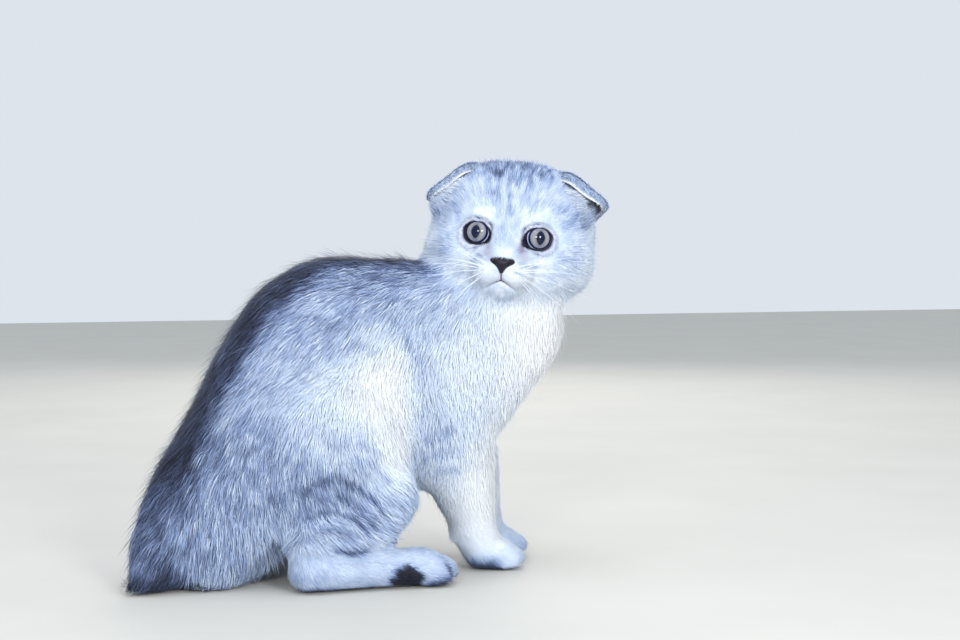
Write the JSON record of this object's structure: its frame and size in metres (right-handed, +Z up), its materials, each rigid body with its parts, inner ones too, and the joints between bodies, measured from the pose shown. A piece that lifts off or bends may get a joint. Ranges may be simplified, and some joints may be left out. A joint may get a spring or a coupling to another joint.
{
  "type": "scottish fold kitten",
  "caption": "Life-size seated Scottish Fold kitten with folded ears and a silver tabby coat, side on with its head turned.",
  "frame": {"origin": "middle of the bounding box at floor level, under the seated kitten", "axes": "+X the way the body faces, +Y to the kitten's left, +Z up; the head is turned to the kitten's right, towards -Y"},
  "size_m": [0.252, 0.1294, 0.2143],
  "materials": {
    "silver_white_fur": "short dense fur, pale silver",
    "white_fur": "soft white fur",
    "silver_grey_fur": "silver fur with slate tips",
    "slate_fur": "dark slate fur",
    "nose_leather": "fine grained, slightly moist",
    "eye": "wet, clear over a grey-hazel iris"
  },
  "bodies": {
    "root": {"head": "silver_white_fur", "neck": "white_fur", "chest": "white_fur", "torso": "silver_grey_fur", "rump": "silver_grey_fur", "left_thigh": "silver_white_fur", "right_thigh": "silver_white_fur", "left_foreleg": "silver_white_fur", "right_foreleg": "silver_white_fur", "left_forepaw": "white_fur", "right_forepaw": "white_fur", "left_hind_foot": "silver_white_fur", "right_hind_foot": "silver_white_fur", "tail_root": "silver_grey_fur", "tail_middle": "silver_grey_fur", "tail_tip": "slate_fur", "left_ear": "silver_grey_fur", "right_ear": "silver_grey_fur", "left_eye": "eye", "right_eye": "eye", "nose": "nose_leather"}
  },
  "joints": []
}
